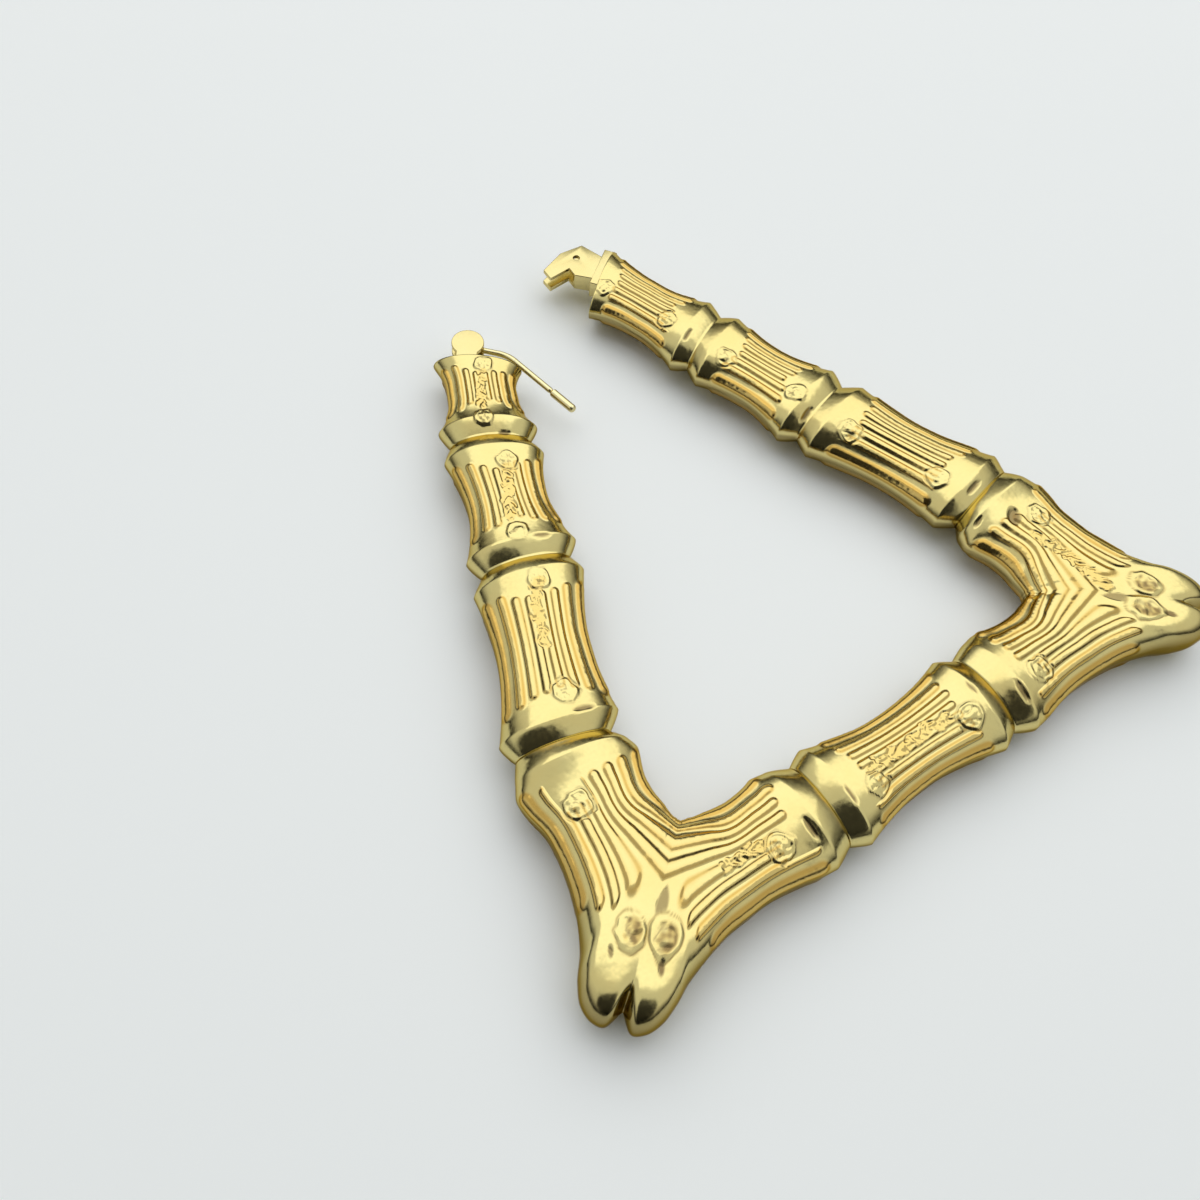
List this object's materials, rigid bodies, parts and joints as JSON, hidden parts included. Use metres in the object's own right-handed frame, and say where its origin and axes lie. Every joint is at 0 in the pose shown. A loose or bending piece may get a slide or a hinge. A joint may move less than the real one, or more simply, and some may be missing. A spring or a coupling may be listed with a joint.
{
  "type": "bamboo earring",
  "caption": "Large triangular hoop earring of jointed bamboo tube with raised rods, round hinge ears, a swinging ear wire and a folded snap catch.",
  "frame": {"origin": "bottom centre of the bounding box: the hoop lies on its back face on the plane z = 0", "axes": "+X runs along the base section towards the catch's side, +Y from the base to the open top, +Z square to the hoop's plane, up from the surface it lies on and along the hinge"},
  "size_m": [0.0918, 0.0938, 0.0078],
  "materials": {
    "hoop_metal": "polished gold plate",
    "wire_metal": "polished gold plate"
  },
  "bodies": {
    "hoop": {"bamboo_hoop": "hoop_metal", "hinge_rivet": "hoop_metal"},
    "wire": {"ear_wire": "wire_metal"}
  },
  "joints": [
    {"name": "ear_wire_hinge", "type": "hinge", "parent": "hoop", "child": "wire", "pos_m": [-0.01107, 0.03917, 0.0039], "axis": [0, 0, 1], "range_deg": [0, 188]}
  ]
}
